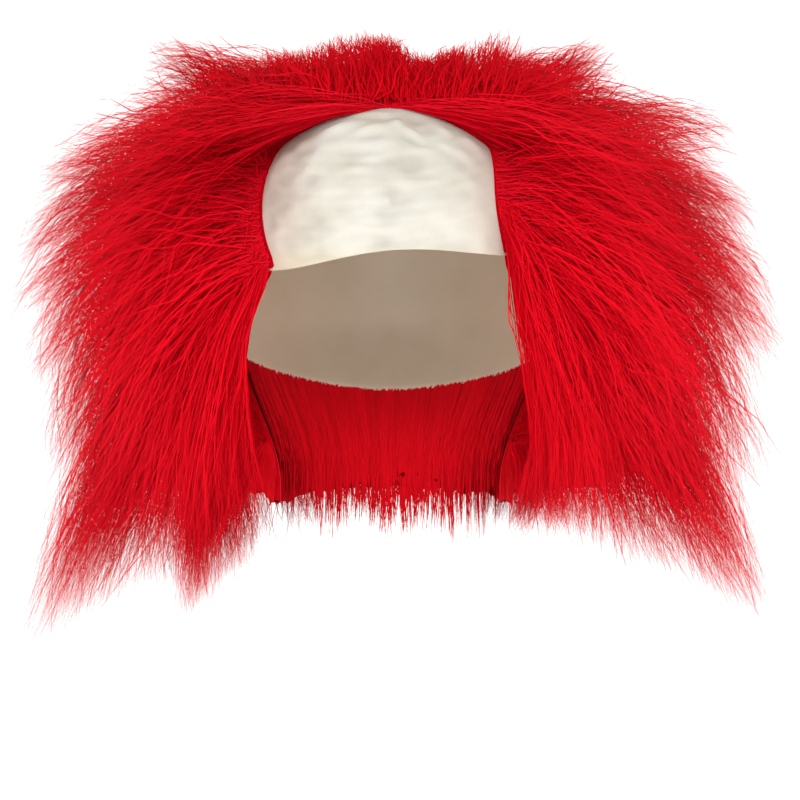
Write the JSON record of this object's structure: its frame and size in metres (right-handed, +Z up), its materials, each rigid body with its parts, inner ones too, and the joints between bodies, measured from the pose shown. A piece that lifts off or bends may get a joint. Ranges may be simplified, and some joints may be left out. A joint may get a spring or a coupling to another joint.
{
  "type": "clown wig",
  "caption": "Costume clown wig: an ivory latex bald cap with frizzy red hair round its back and sides, open at the face and neck.",
  "frame": {"origin": "where the top of the wearer's head touches the inside of the cap", "axes": "+Z up, -Y the way the wearer faces, +X to the wearer's left"},
  "size_m": [0.3725, 0.2715, 0.2964],
  "materials": {
    "latex": "thin cast latex, ivory, satin, slightly blistered and wrinkled",
    "red_hair": "crimped synthetic hair, bright red, frizzy, soft sheen"
  },
  "bodies": {
    "root": {"bald_cap": "latex", "hair_left": "red_hair", "hair_right": "red_hair", "hair_back": "red_hair", "hair_crown": "red_hair"}
  },
  "joints": []
}
